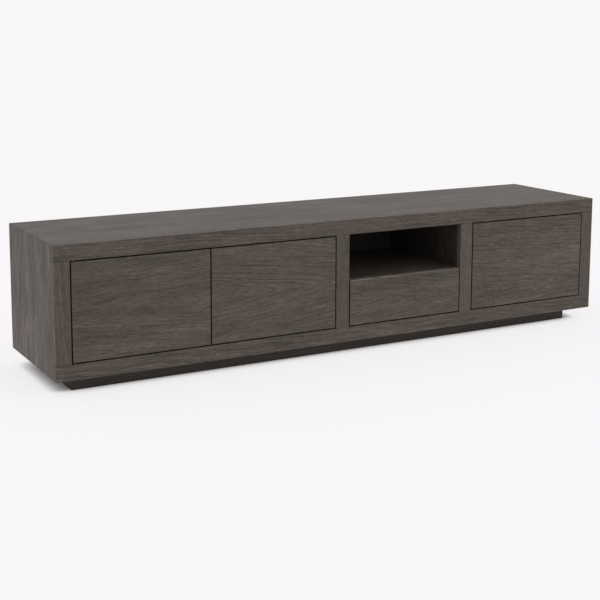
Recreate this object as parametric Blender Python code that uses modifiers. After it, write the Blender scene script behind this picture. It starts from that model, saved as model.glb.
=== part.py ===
"""Low television sideboard in dark open-grain oak.

A mitred box on a recessed plinth, with a solid oak face frame, a pair of doors, an open niche above a
drawer, and a single door. All fronts are inset, flush and without handles: they open when pressed.

Units are metres. +X runs along the length to the viewer's right, +Y to the wall, +Z up. The origin is on
the floor under the middle of the body.
"""

import math

import bmesh
import bpy
from mathutils import Matrix, Vector

# Overall body
BODY_LENGTH = 2.000
BODY_DEPTH = 0.440
BODY_HEIGHT = 0.400
BOARD = 0.048
FRAME_DEPTH = 0.020

# Compartments, measured between boards
PAIR_OPENING = 0.882
NICHE_OPENING = 0.440
NICHE_HEIGHT_SHARE = 0.500
NICHE_SHELF_THICKNESS = 0.022

# Fits
SEAT = 0.0003
REVEAL = 0.0036
FRONT_STANDOFF = 0.0015
PIVOT_RUNNING = 0.00005
PLUNGER_RUNNING = 0.0001
RUNNER_RUNNING = 0.0004
CUT_OVERSHOOT = 0.004

# Edges
BOARD_EASE = 0.0006
METAL_EASE = 0.0003
HOUSING_EASE = 0.0015

# Plinth
PLINTH_HEIGHT = 0.048
PLINTH_INSET = 0.065
PLINTH_THICKNESS = 0.016

# Back panels
BACK_THICKNESS = 0.008
BACK_INSET = 0.0015
BACK_REBATE = 0.010
CABLE_SLOT_WIDTH = 0.120
CABLE_SLOT_HEIGHT = 0.040
CABLE_SLOT_RISE = 0.022
CABLE_SLOT_FROM_SIDE = 0.110
CABLE_SLOT_CORNER = 0.012

# Shelves
SHELF_THICKNESS = 0.018
SHELF_SETBACK = 0.012
SHELF_HEIGHT_SHARE = 0.500

# Doors and drawer front
FRONT_THICKNESS = 0.020

# Pivot hinges
PIVOT_FROM_EDGE = 0.008
PIVOT_FROM_FACE = 0.006
LEAF_FROM_EDGE = 0.004
LEAF_FROM_FACE = 0.0035
LEAF_LENGTH = 0.046
LEAF_WIDTH = 0.010
LEAF_THICKNESS = 0.0025
PIN_RADIUS = 0.0020
PIN_ENTRY = 0.0022
COLLAR_RADIUS = 0.0042

# Press latches
LATCH_LENGTH = 0.050
LATCH_WIDTH = 0.016
LATCH_HEIGHT = 0.0165
LATCH_STANDOFF = 0.0040
LATCH_FROM_EDGE = 0.028
PLUNGER_RADIUS = 0.0035
PLUNGER_LENGTH = 0.045
PLUNGER_TRAVEL = 0.0025
DRAWER_LATCH_RISE = 0.034
DRAWER_LATCH_CAP = 0.009

# Drawer box
DRAWER_BOARD = 0.012
DRAWER_BOX_RISE = 0.012
DRAWER_BOX_HEADROOM = 0.022
DRAWER_REAR_SPACE = 0.0617
DRAWER_FLOOR = 0.006
DRAWER_FLOOR_RISE = 0.008
DRAWER_GROOVE = 0.005

# Drawer runners
RUNNER_SPACE = 0.013
RUNNER_SETBACK = 0.005
RUNNER_HEIGHT = 0.045
RUNNER_STEEL = 0.0012
RUNNER_OUTER_WIDTH = 0.0090
RUNNER_MIDDLE_OFFSET = 0.0030
RUNNER_MIDDLE_WIDTH = 0.0082
RUNNER_INNER_OFFSET = 0.0052
RUNNER_RISE = 0.050

# Mesh resolution
ROUND_SEGMENTS = 24
SLOT_SEGMENTS = 4
EASE_SEGMENTS = 1
HOUSING_EASE_SEGMENTS = 2
SMOOTH_ANGLE = math.radians(35.0)
EASE_ANGLE = math.radians(25.0)
MITRE_ANGLE = math.radians(45.0)
HALF_SHARE = 0.5
UNIT_SHARE = 1.0
AXIS_MARK = 0.020

# Faces of the body
LEFT = -HALF_SHARE * BODY_LENGTH
RIGHT = HALF_SHARE * BODY_LENGTH
FRONT = -HALF_SHARE * BODY_DEPTH
BACK = HALF_SHARE * BODY_DEPTH
BASE = PLINTH_HEIGHT
TOP = BASE + BODY_HEIGHT
OPEN_LOW = BASE + BOARD
OPEN_HIGH = TOP - BOARD
FRAME_BACK = FRONT + FRAME_DEPTH
PANEL_FRONT = FRAME_BACK + SEAT
BACK_OUTSIDE = BACK - BACK_INSET
BACK_FACE = BACK_OUTSIDE - BACK_THICKNESS
FRONT_BACK = FRONT + FRONT_THICKNESS

# Faces of the boards that divide the length
PAIR_LEFT = LEFT + BOARD
PAIR_RIGHT = PAIR_LEFT + PAIR_OPENING
NICHE_LEFT = PAIR_RIGHT + BOARD
NICHE_RIGHT = NICHE_LEFT + NICHE_OPENING
SINGLE_LEFT = NICHE_RIGHT + BOARD
SINGLE_RIGHT = RIGHT - BOARD

# Heights
NICHE_FLOOR = OPEN_HIGH - NICHE_HEIGHT_SHARE * (OPEN_HIGH - OPEN_LOW)
NICHE_SHELF_LOW = NICHE_FLOOR - NICHE_SHELF_THICKNESS
DOOR_LOW = OPEN_LOW + REVEAL
DOOR_HIGH = OPEN_HIGH - REVEAL

FINISHES = {
    "oak": ((0.088, 0.074, 0.063, 1.0), 0.0, 0.62),
    "dark_oak": ((0.060, 0.050, 0.042, 1.0), 0.0, 0.66),
    "plinth": ((0.030, 0.024, 0.020, 1.0), 0.0, 0.70),
    "back": ((0.030, 0.026, 0.023, 1.0), 0.0, 0.75),
    "steel": ((0.560, 0.560, 0.550, 1.0), 1.0, 0.35),
    "black_steel": ((0.060, 0.060, 0.062, 1.0), 1.0, 0.45),
    "plastic": ((0.110, 0.110, 0.110, 1.0), 0.0, 0.50),
    "tip": ((0.300, 0.300, 0.300, 1.0), 0.0, 0.45),
}

for leftover in list(bpy.data.objects):
    bpy.data.objects.remove(leftover, do_unlink=True)

body_collection = bpy.data.collections.new("tv_sideboard")
cutter_collection = bpy.data.collections.new("cutters")
bpy.context.scene.collection.children.link(body_collection)
bpy.context.scene.collection.children.link(cutter_collection)


def material_for(name, finish):
    """Principled material of one piece."""
    colour, metallic, roughness = FINISHES[finish]
    material = bpy.data.materials.new(name + "_" + finish)
    material.use_nodes = True
    shader = material.node_tree.nodes["Principled BSDF"]
    shader.inputs["Base Color"].default_value = colour
    shader.inputs["Metallic"].default_value = metallic
    shader.inputs["Roughness"].default_value = roughness
    material.diffuse_color = colour
    return material


def box_mesh(low, high):
    """Closed box between two opposite corners."""
    low = Vector(low)
    high = Vector(high)
    size = high - low
    centre = low + size * HALF_SHARE
    shape = bmesh.new()
    bmesh.ops.create_cube(shape, size=UNIT_SHARE)
    bmesh.ops.scale(shape, vec=size, verts=shape.verts)
    bmesh.ops.translate(shape, vec=centre, verts=shape.verts)
    return shape


def rod_mesh(start, end, radius):
    """Closed cylinder between two points."""
    start = Vector(start)
    end = Vector(end)
    run = end - start
    shape = bmesh.new()
    bmesh.ops.create_cone(
        shape,
        cap_ends=True,
        segments=ROUND_SEGMENTS,
        radius1=radius,
        radius2=radius,
        depth=run.length,
    )
    turn = Vector((0.0, 0.0, 1.0)).rotation_difference(run).to_matrix().to_4x4()
    place = Matrix.Translation(start + run * HALF_SHARE) @ turn
    bmesh.ops.transform(shape, matrix=place, verts=shape.verts)
    return shape


def add_object(name, shape, origin, collection):
    """Object whose mesh is measured from its own origin."""
    origin = Vector(origin)
    bmesh.ops.translate(shape, vec=-origin, verts=shape.verts)
    data = bpy.data.meshes.new(name)
    shape.to_mesh(data)
    shape.free()
    made = bpy.data.objects.new(name, data)
    made.location = origin
    collection.objects.link(made)
    return made


def middle_of(shape):
    """Centre of a shape's bounding box."""
    low = Vector((min(v.co.x for v in shape.verts), min(v.co.y for v in shape.verts),
                  min(v.co.z for v in shape.verts)))
    high = Vector((max(v.co.x for v in shape.verts), max(v.co.y for v in shape.verts),
                   max(v.co.z for v in shape.verts)))
    return low + (high - low) * HALF_SHARE


def piece(name, shape, finish, axis=None):
    """One physical piece. A moving one hangs from the empty on its joint axis."""
    made = add_object(name, shape, middle_of(shape), body_collection)
    made.data.materials.append(material_for(name, finish))
    if axis is not None:
        made.location = made.location - axis.location
        made.parent = axis
    return made


def cutter(name, shape):
    """Shape that is cut from, or joined to, a piece."""
    made = add_object(name, shape, middle_of(shape), cutter_collection)
    made.hide_render = True
    made.display_type = "WIRE"
    return made


def ease(made, width, segments):
    """Small flat or round on every sharp edge."""
    step = made.modifiers.new("ease", "BEVEL")
    step.width = width
    step.segments = segments
    step.limit_method = "ANGLE"
    step.angle_limit = EASE_ANGLE
    step.harden_normals = False


def combine(made, other, operation):
    """Cut another shape from a piece, or join it on."""
    step = made.modifiers.new(other.name, "BOOLEAN")
    step.operation = operation
    step.solver = "EXACT"
    step.object = other


def smooth(made):
    """Smooth shading with sharp edges kept."""
    made.data.shade_smooth()
    made.data.set_sharp_from_angle(angle=SMOOTH_ANGLE)


def board(name, low, high, finish, axis=None, width=BOARD_EASE):
    """Rectangular board with eased edges."""
    made = piece(name, box_mesh(low, high), finish, axis)
    ease(made, width, EASE_SEGMENTS)
    return made


def axis_mark(name, place):
    """Empty on a joint's axis, which carries the pieces that move about it."""
    mark = bpy.data.objects.new(name, None)
    mark.empty_display_size = AXIS_MARK
    mark.location = Vector(place)
    body_collection.objects.link(mark)
    return mark


# Mitred box behind the face frame. The side boards keep their full outer height, and the top and bottom
# boards stop one seat short of them along the mitre.
MITRE_SETBACK = SEAT / math.sin(MITRE_ANGLE)


def mitre_ends(shape, inner_z):
    """Slope both ends of a level board, so its inner face is shorter by one board at each end."""
    for corner in shape.verts:
        inward = -math.copysign(BOARD, corner.co.x)
        if abs(corner.co.z - inner_z) < HALF_SHARE * BOARD:
            corner.co.x += inward


def mitre_heads(shape, inner_x):
    """Slope both ends of an upright board, so its inner face is shorter by one board at each end."""
    middle = BASE + HALF_SHARE * BODY_HEIGHT
    for corner in shape.verts:
        inward = -math.copysign(BOARD, corner.co.z - middle)
        if abs(corner.co.x - inner_x) < HALF_SHARE * BOARD:
            corner.co.z += inward


rebate = cutter(
    "rebate_cut",
    box_mesh(
        (PAIR_LEFT - BACK_REBATE, BACK_FACE - SEAT, OPEN_LOW - BACK_REBATE),
        (SINGLE_RIGHT + BACK_REBATE, BACK + CUT_OVERSHOOT, OPEN_HIGH + BACK_REBATE),
    ),
)

for name, low_z, high_z, inner_z in (
    ("top_panel", OPEN_HIGH, TOP, OPEN_HIGH),
    ("bottom_panel", BASE, OPEN_LOW, OPEN_LOW),
):
    shape = box_mesh((LEFT + MITRE_SETBACK, PANEL_FRONT, low_z), (RIGHT - MITRE_SETBACK, BACK, high_z))
    mitre_ends(shape, inner_z)
    panel = piece(name, shape, "oak")
    ease(panel, BOARD_EASE, EASE_SEGMENTS)
    combine(panel, rebate, "DIFFERENCE")

for name, low_x, high_x, inner_x in (
    ("left_side_panel", LEFT, PAIR_LEFT, PAIR_LEFT),
    ("right_side_panel", SINGLE_RIGHT, RIGHT, SINGLE_RIGHT),
):
    shape = box_mesh((low_x, PANEL_FRONT, BASE), (high_x, BACK, TOP))
    mitre_heads(shape, inner_x)
    panel = piece(name, shape, "oak")
    ease(panel, BOARD_EASE, EASE_SEGMENTS)
    combine(panel, rebate, "DIFFERENCE")

for name, low_x, high_x in (
    ("left_divider_panel", PAIR_RIGHT, NICHE_LEFT),
    ("right_divider_panel", NICHE_RIGHT, SINGLE_LEFT),
):
    board(
        name,
        (low_x, PANEL_FRONT, OPEN_LOW + SEAT),
        (high_x, BACK_FACE - SEAT, OPEN_HIGH - SEAT),
        "oak",
    )

# Back panels, which meet behind the middle of each divider.
LEFT_BACK_JOINT = PAIR_RIGHT + HALF_SHARE * BOARD
RIGHT_BACK_JOINT = NICHE_RIGHT + HALF_SHARE * BOARD
BACK_LOW = OPEN_LOW - BACK_REBATE + SEAT
BACK_HIGH = OPEN_HIGH + BACK_REBATE - SEAT
BACK_GAP = HALF_SHARE * SEAT

for name, low_x, high_x in (
    ("left_back_panel", PAIR_LEFT - BACK_REBATE + SEAT, LEFT_BACK_JOINT - BACK_GAP),
    ("middle_back_panel", LEFT_BACK_JOINT + BACK_GAP, RIGHT_BACK_JOINT - BACK_GAP),
    ("right_back_panel", RIGHT_BACK_JOINT + BACK_GAP, SINGLE_RIGHT + BACK_REBATE - SEAT),
):
    panel = piece(name, box_mesh((low_x, BACK_FACE, BACK_LOW), (high_x, BACK_OUTSIDE, BACK_HIGH)), "back")
    if name == "middle_back_panel":
        # Cable slot low in the back of the niche, near its left board
        slot_x = NICHE_LEFT + CABLE_SLOT_FROM_SIDE
        slot_low = NICHE_FLOOR + CABLE_SLOT_RISE
        slot_shape = box_mesh(
            (slot_x - HALF_SHARE * CABLE_SLOT_WIDTH, BACK_FACE - CUT_OVERSHOOT, slot_low),
            (slot_x + HALF_SHARE * CABLE_SLOT_WIDTH, BACK + CUT_OVERSHOOT, slot_low + CABLE_SLOT_HEIGHT),
        )
        corners = [e for e in slot_shape.edges if abs((e.verts[0].co - e.verts[1].co).normalized().y) > HALF_SHARE]
        bmesh.ops.bevel(
            slot_shape,
            geom=corners,
            offset=CABLE_SLOT_CORNER,
            offset_type="OFFSET",
            segments=SLOT_SEGMENTS,
            profile=HALF_SHARE,
            affect="EDGES",
        )
        combine(panel, cutter("cable_slot_cut", slot_shape), "DIFFERENCE")

# Face frame: full-length rails, with the stiles standing between them.
rails = {
    "top": board("top_rail", (LEFT, FRONT, OPEN_HIGH), (RIGHT, FRAME_BACK, TOP), "oak"),
    "bottom": board("bottom_rail", (LEFT, FRONT, BASE), (RIGHT, FRAME_BACK, OPEN_LOW), "oak"),
}
for name, low_x in (
    ("left_stile", LEFT),
    ("left_divider_stile", PAIR_RIGHT),
    ("right_divider_stile", NICHE_RIGHT),
    ("right_stile", SINGLE_RIGHT),
):
    board(
        name,
        (low_x, FRONT, OPEN_LOW + SEAT),
        (low_x + BOARD, FRAME_BACK, OPEN_HIGH - SEAT),
        "oak",
    )

# Shelves
board(
    "niche_shelf",
    (NICHE_LEFT + SEAT, FRONT_BACK + FRONT_STANDOFF, NICHE_SHELF_LOW),
    (NICHE_RIGHT - SEAT, BACK_FACE - SEAT, NICHE_FLOOR),
    "oak",
)
shelf_middle = OPEN_LOW + SHELF_HEIGHT_SHARE * (OPEN_HIGH - OPEN_LOW)
shelf_low = shelf_middle - HALF_SHARE * SHELF_THICKNESS
for name, low_x, high_x in (
    ("left_shelf", PAIR_LEFT, PAIR_RIGHT),
    ("right_shelf", SINGLE_LEFT, SINGLE_RIGHT),
):
    board(
        name,
        (low_x + SEAT, FRONT_BACK + SHELF_SETBACK, shelf_low),
        (high_x - SEAT, BACK_FACE - SEAT, shelf_low + SHELF_THICKNESS),
        "dark_oak",
    )

# Plinth: long boards front and back, three short ones between them.
PLINTH_LEFT = LEFT + PLINTH_INSET
PLINTH_RIGHT = RIGHT - PLINTH_INSET
PLINTH_FRONT = FRONT + PLINTH_INSET
PLINTH_BACK = BACK - PLINTH_INSET
PLINTH_TOP = PLINTH_HEIGHT - SEAT
for name, low_y in (
    ("plinth_front", PLINTH_FRONT),
    ("plinth_back", PLINTH_BACK - PLINTH_THICKNESS),
):
    board(name, (PLINTH_LEFT, low_y, 0.0), (PLINTH_RIGHT, low_y + PLINTH_THICKNESS, PLINTH_TOP), "plinth")
for name, low_x in (
    ("plinth_left", PLINTH_LEFT),
    ("plinth_brace", -HALF_SHARE * PLINTH_THICKNESS),
    ("plinth_right", PLINTH_RIGHT - PLINTH_THICKNESS),
):
    board(
        name,
        (low_x, PLINTH_FRONT + PLINTH_THICKNESS + SEAT, 0.0),
        (low_x + PLINTH_THICKNESS, PLINTH_BACK - PLINTH_THICKNESS - SEAT, PLINTH_TOP),
        "plinth",
    )


def leaf_box(edge_x, inward, low_z, high_z, margin):
    """Flat box of a hinge leaf or its recess, beside a door's hinged edge."""
    start = edge_x + inward * (LEAF_FROM_EDGE - margin)
    stop = edge_x + inward * (LEAF_FROM_EDGE + LEAF_LENGTH + margin)
    near = FRONT + LEAF_FROM_FACE
    return box_mesh(
        (min(start, stop), near - margin, low_z),
        (max(start, stop), near + LEAF_WIDTH + margin, high_z),
    )


def pivot_hinge(label, door, axis, edge_x, inward, end):
    """Pivot hinge of a door at its head or its foot: a leaf with a pin, and a plate in the frame."""
    up = 1.0 if end == "top" else -1.0
    door_edge = DOOR_HIGH if end == "top" else DOOR_LOW
    frame_edge = OPEN_HIGH if end == "top" else OPEN_LOW
    pivot_x = edge_x + inward * PIVOT_FROM_EDGE
    pivot_y = FRONT + PIVOT_FROM_FACE

    def band(first, second):
        return min(first, second), max(first, second)

    low, high = band(door_edge - up * LEAF_THICKNESS, door_edge)
    leaf = piece(label + "_" + end + "_leaf", leaf_box(edge_x, inward, low, high, 0.0), "black_steel", axis)
    pin = rod_mesh(
        (pivot_x, pivot_y, door_edge - up * HALF_SHARE * LEAF_THICKNESS),
        (pivot_x, pivot_y, frame_edge + up * PIN_ENTRY),
        PIN_RADIUS,
    )
    combine(leaf, cutter(label + "_" + end + "_pin_add", pin), "UNION")
    collar = rod_mesh(
        (pivot_x, pivot_y, door_edge + up * SEAT),
        (pivot_x, pivot_y, frame_edge - up * SEAT),
        COLLAR_RADIUS,
    )
    combine(leaf, cutter(label + "_" + end + "_collar_add", collar), "UNION")

    low, high = band(door_edge - up * (LEAF_THICKNESS + SEAT), door_edge + up * CUT_OVERSHOOT)
    recess = leaf_box(edge_x, inward, low, high, SEAT)
    combine(door, cutter(label + "_" + end + "_leaf_cut", recess), "DIFFERENCE")

    low, high = band(frame_edge, frame_edge + up * LEAF_THICKNESS)
    plate = piece(label + "_" + end + "_plate", leaf_box(edge_x, inward, low, high, 0.0), "black_steel")
    hole = rod_mesh(
        (pivot_x, pivot_y, frame_edge - up * CUT_OVERSHOOT),
        (pivot_x, pivot_y, frame_edge + up * (LEAF_THICKNESS + CUT_OVERSHOOT)),
        PIN_RADIUS + PIVOT_RUNNING,
    )
    combine(plate, cutter(label + "_" + end + "_hole_cut", hole), "DIFFERENCE")

    low, high = band(frame_edge - up * CUT_OVERSHOOT, frame_edge + up * (LEAF_THICKNESS + SEAT))
    recess = leaf_box(edge_x, inward, low, high, SEAT)
    combine(rails[end], cutter(label + "_" + end + "_plate_cut", recess), "DIFFERENCE")


def press_latch(label, stop_y, x, z, top_z, low_z):
    """Press latch: a housing fixed to a board, and a round plunger that slides in it."""
    mouth = stop_y + LATCH_STANDOFF
    bore_end = stop_y + SEAT + PLUNGER_LENGTH + PLUNGER_TRAVEL + SEAT
    housing = piece(
        label + "_latch_housing",
        box_mesh(
            (x - HALF_SHARE * LATCH_WIDTH, mouth, low_z),
            (x + HALF_SHARE * LATCH_WIDTH, mouth + LATCH_LENGTH, top_z),
        ),
        "plastic",
    )
    ease(housing, HOUSING_EASE, HOUSING_EASE_SEGMENTS)
    bore = rod_mesh((x, mouth - CUT_OVERSHOOT, z), (x, bore_end, z), PLUNGER_RADIUS + PLUNGER_RUNNING)
    combine(housing, cutter(label + "_bore_cut", bore), "DIFFERENCE")
    slide = axis_mark(label + "_latch_axis", (x, stop_y + SEAT, z))
    plunger = piece(
        label + "_latch_plunger",
        rod_mesh((x, stop_y + SEAT, z), (x, stop_y + SEAT + PLUNGER_LENGTH, z), PLUNGER_RADIUS),
        "tip",
        slide,
    )
    smooth(plunger)
    ease(plunger, METAL_EASE, EASE_SEGMENTS)


def door(label, low_x, high_x, hinged_left):
    """Inset flush door on two pivot hinges, with a press latch at its free edge."""
    edge_x = low_x if hinged_left else high_x
    free_x = high_x if hinged_left else low_x
    inward = 1.0 if hinged_left else -1.0
    pivot = (edge_x + inward * PIVOT_FROM_EDGE, FRONT + PIVOT_FROM_FACE, DOOR_LOW)
    axis = axis_mark(label + "_axis", pivot)
    leaf = board(label, (low_x, FRONT, DOOR_LOW), (high_x, FRONT_BACK, DOOR_HIGH), "oak", axis)
    pivot_hinge(label, leaf, axis, edge_x, inward, "top")
    pivot_hinge(label, leaf, axis, edge_x, inward, "bottom")
    housing_top = OPEN_HIGH - SEAT
    press_latch(
        label,
        FRONT_BACK,
        free_x - inward * LATCH_FROM_EDGE,
        housing_top - HALF_SHARE * LATCH_HEIGHT,
        housing_top,
        housing_top - LATCH_HEIGHT,
    )


PAIR_MIDDLE = PAIR_LEFT + HALF_SHARE * PAIR_OPENING
HALF_REVEAL = HALF_SHARE * REVEAL
door("left_door", PAIR_LEFT + REVEAL, PAIR_MIDDLE - HALF_REVEAL, True)
door("middle_door", PAIR_MIDDLE + HALF_REVEAL, PAIR_RIGHT - REVEAL, False)
door("right_door", SINGLE_LEFT + REVEAL, SINGLE_RIGHT - REVEAL, False)

# Drawer: a box of thin boards with an applied front
BOX_LEFT = NICHE_LEFT + RUNNER_SPACE
BOX_RIGHT = NICHE_RIGHT - RUNNER_SPACE
BOX_LOW = OPEN_LOW + DRAWER_BOX_RISE
BOX_HIGH = NICHE_SHELF_LOW - DRAWER_BOX_HEADROOM
BOX_FRONT = FRONT_BACK + SEAT
BOX_BACK = BACK_FACE - DRAWER_REAR_SPACE
DRAWER_X = HALF_SHARE * (BOX_LEFT + BOX_RIGHT)
FLOOR_LOW = BOX_LOW + DRAWER_FLOOR_RISE
FLOOR_HIGH = FLOOR_LOW + DRAWER_FLOOR
drawer_axis = axis_mark("drawer_axis", (DRAWER_X, FRONT, OPEN_LOW))

board(
    "drawer_front",
    (NICHE_LEFT + REVEAL, FRONT, DOOR_LOW),
    (NICHE_RIGHT - REVEAL, FRONT_BACK, NICHE_FLOOR),
    "oak",
    drawer_axis,
)
inner_left = BOX_LEFT + DRAWER_BOARD + SEAT
inner_right = BOX_RIGHT - DRAWER_BOARD - SEAT
groove_left = BOX_LEFT + DRAWER_BOARD - DRAWER_GROOVE
groove_right = BOX_RIGHT - DRAWER_BOARD + DRAWER_GROOVE
groove_front = BOX_FRONT + DRAWER_BOARD - DRAWER_GROOVE
groove = cutter(
    "drawer_groove_cut",
    box_mesh(
        (groove_left - SEAT, groove_front - SEAT, FLOOR_LOW - SEAT),
        (groove_right + SEAT, BOX_BACK + CUT_OVERSHOOT, FLOOR_HIGH + SEAT),
    ),
)
for name, low_x in (
    ("drawer_left_side", BOX_LEFT),
    ("drawer_right_side", BOX_RIGHT - DRAWER_BOARD),
):
    side = board(
        name,
        (low_x, BOX_FRONT, BOX_LOW),
        (low_x + DRAWER_BOARD, BOX_BACK, BOX_HIGH),
        "dark_oak",
        drawer_axis,
    )
    combine(side, groove, "DIFFERENCE")
box_front = board(
    "drawer_box_front",
    (inner_left, BOX_FRONT, BOX_LOW),
    (inner_right, BOX_FRONT + DRAWER_BOARD, BOX_HIGH),
    "dark_oak",
    drawer_axis,
)
combine(box_front, groove, "DIFFERENCE")
board(
    "drawer_back",
    (inner_left, BOX_BACK - DRAWER_BOARD, FLOOR_HIGH + SEAT),
    (inner_right, BOX_BACK, BOX_HIGH),
    "dark_oak",
    drawer_axis,
)
board(
    "drawer_bottom",
    (groove_left, groove_front, FLOOR_LOW),
    (groove_right, BOX_BACK, FLOOR_HIGH),
    "dark_oak",
    drawer_axis,
    METAL_EASE,
)
press_latch(
    "drawer",
    BOX_BACK,
    DRAWER_X,
    OPEN_LOW + DRAWER_LATCH_RISE,
    OPEN_LOW + DRAWER_LATCH_RISE + DRAWER_LATCH_CAP,
    OPEN_LOW + SEAT,
)

# Three-member runners: nested channels on the divider, between, and on the drawer's side
RUNNER_MIDDLE_Z = OPEN_LOW + RUNNER_RISE
OUTER_REACH = HALF_SHARE * RUNNER_HEIGHT
MIDDLE_REACH = OUTER_REACH - RUNNER_STEEL - RUNNER_RUNNING
INNER_REACH = MIDDLE_REACH - RUNNER_STEEL - RUNNER_RUNNING
RUNNER_FRONT = BOX_FRONT + RUNNER_SETBACK
RUNNER_BACK = BOX_BACK - RUNNER_SETBACK


def channel(name, wall_x, inward, offset, width, reach, web_near, axis):
    """Channel along the drawer's travel. Its web is on the wall's side, or on the drawer's side."""
    near = wall_x + inward * offset
    far = wall_x + inward * (offset + width)
    made = piece(
        name,
        box_mesh(
            (min(near, far), RUNNER_FRONT, RUNNER_MIDDLE_Z - reach),
            (max(near, far), RUNNER_BACK, RUNNER_MIDDLE_Z + reach),
        ),
        "steel",
        axis,
    )
    if web_near:
        hollow_near = near + inward * RUNNER_STEEL
        hollow_far = far + inward * CUT_OVERSHOOT
    else:
        hollow_near = near - inward * CUT_OVERSHOOT
        hollow_far = far - inward * RUNNER_STEEL
    hollow_reach = reach - RUNNER_STEEL
    hollow = box_mesh(
        (min(hollow_near, hollow_far), RUNNER_FRONT - CUT_OVERSHOOT, RUNNER_MIDDLE_Z - hollow_reach),
        (max(hollow_near, hollow_far), RUNNER_BACK + CUT_OVERSHOOT, RUNNER_MIDDLE_Z + hollow_reach),
    )
    combine(made, cutter(name + "_hollow_cut", hollow), "DIFFERENCE")


for label, wall_x, inward in (("left", NICHE_LEFT, 1.0), ("right", NICHE_RIGHT, -1.0)):
    middle_axis = axis_mark(label + "_runner_axis", (wall_x, RUNNER_FRONT, RUNNER_MIDDLE_Z))
    channel(label + "_runner_outer", wall_x, inward, SEAT, RUNNER_OUTER_WIDTH, OUTER_REACH, True, None)
    channel(
        label + "_runner_middle",
        wall_x,
        inward,
        RUNNER_MIDDLE_OFFSET,
        RUNNER_MIDDLE_WIDTH,
        MIDDLE_REACH,
        True,
        middle_axis,
    )
    inner_width = RUNNER_SPACE - SEAT - RUNNER_INNER_OFFSET
    channel(
        label + "_runner_inner",
        wall_x,
        inward,
        RUNNER_INNER_OFFSET,
        inner_width,
        INNER_REACH,
        False,
        drawer_axis,
    )

bpy.context.view_layer.update()
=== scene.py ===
"""Looks of a low television sideboard in dark stained oak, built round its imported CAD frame.

The boards, fronts, hinges, latches and runners are the frame's own solids, dressed here with procedural
finishes. The small fittings that the frame leaves out are modelled here: screws, shelf pins and the sleeves
they fit, strike buttons and the collar of the cable slot. Everything is in metres, in the frame's own axes:
+X along the length, +Y to the wall, +Z up.
"""

import logging
import math
from abc import ABC, abstractmethod
from collections.abc import Callable, Iterable, Sequence
from dataclasses import dataclass, field
from enum import Enum

import bmesh
import bpy
from mathutils import Matrix, Vector


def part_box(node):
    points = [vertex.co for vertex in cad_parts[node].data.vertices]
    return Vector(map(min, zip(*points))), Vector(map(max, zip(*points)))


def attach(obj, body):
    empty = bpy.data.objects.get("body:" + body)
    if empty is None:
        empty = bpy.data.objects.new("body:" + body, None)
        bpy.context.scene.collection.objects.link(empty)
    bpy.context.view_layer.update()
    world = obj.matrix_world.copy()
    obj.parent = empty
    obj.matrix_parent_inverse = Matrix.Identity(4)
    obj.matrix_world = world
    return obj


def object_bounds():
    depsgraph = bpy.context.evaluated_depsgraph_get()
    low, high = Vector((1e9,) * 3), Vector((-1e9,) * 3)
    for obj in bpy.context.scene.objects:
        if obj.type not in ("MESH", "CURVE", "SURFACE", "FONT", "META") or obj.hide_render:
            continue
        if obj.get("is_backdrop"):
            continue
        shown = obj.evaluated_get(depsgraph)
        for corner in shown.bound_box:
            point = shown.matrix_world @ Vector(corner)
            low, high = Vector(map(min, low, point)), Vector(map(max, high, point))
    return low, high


log = logging.getLogger("sideboard")

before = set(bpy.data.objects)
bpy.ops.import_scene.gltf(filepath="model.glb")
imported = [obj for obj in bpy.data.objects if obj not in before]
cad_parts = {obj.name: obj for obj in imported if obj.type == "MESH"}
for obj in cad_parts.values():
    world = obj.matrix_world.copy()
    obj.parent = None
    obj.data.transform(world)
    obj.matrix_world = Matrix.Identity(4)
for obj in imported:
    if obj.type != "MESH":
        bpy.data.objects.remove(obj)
CAD_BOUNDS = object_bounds()

Colour = tuple[float, float, float]
Point = tuple[float, float, float]


# Shader building


class Socket:
    """One output of a shader node, on which Python's operators add Math nodes."""

    def __init__(self, tree: "ShaderTree", link: bpy.types.NodeSocket) -> None:
        """Keeps a node's output, and the tree that new nodes go into."""
        self.tree = tree
        self.link = link

    def _maths(self, operation: str, first: "Term", second: "Term") -> "Socket":
        """Adds one Math node and returns its result."""
        return self.tree.add("ShaderNodeMath", {"operation": operation}, {0: first, 1: second})

    def __add__(self, other: "Term") -> "Socket":
        """Sum."""
        return self._maths("ADD", self, other)

    def __sub__(self, other: "Term") -> "Socket":
        """Difference."""
        return self._maths("SUBTRACT", self, other)

    def __rsub__(self, other: "Term") -> "Socket":
        """Difference, with a number first."""
        return self._maths("SUBTRACT", other, self)

    def __mul__(self, other: "Term") -> "Socket":
        """Product."""
        return self._maths("MULTIPLY", self, other)

    def root(self) -> "Socket":
        """Square root."""
        return self._maths("SQRT", self, 0.0)

    def size(self) -> "Socket":
        """Absolute value."""
        return self._maths("ABSOLUTE", self, 0.0)

    def part(self) -> "Socket":
        """Fractional part, which repeats from 0 to 1."""
        return self._maths("FRACT", self, 0.0)

    def over(self, limit: "Term") -> "Socket":
        """1 where the value is above the limit, otherwise 0."""
        return self._maths("GREATER_THAN", self, limit)

    def most(self, other: "Term") -> "Socket":
        """The larger of two values."""
        return self._maths("MAXIMUM", self, other)

    def least(self, other: "Term") -> "Socket":
        """The smaller of two values."""
        return self._maths("MINIMUM", self, other)

    def ease(self, low: float, high: float) -> "Socket":
        """Smooth step from 0 at the low value to 1 at the high one.

        Args:
            low: Where the step starts.
            high: Where it ends. It may be the smaller, and the step then falls.

        Returns:
            The step, from 0 to 1.
        """
        start, stop, first, last = (low, high, 0.0, 1.0) if low < high else (high, low, 1.0, 0.0)
        settings = {"interpolation_type": "SMOOTHSTEP", "clamp": True}
        values = {0: self, 1: start, 2: stop, 3: first, 4: last}
        return self.tree.add("ShaderNodeMapRange", settings, values)


Term = Socket | float | int | tuple


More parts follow.
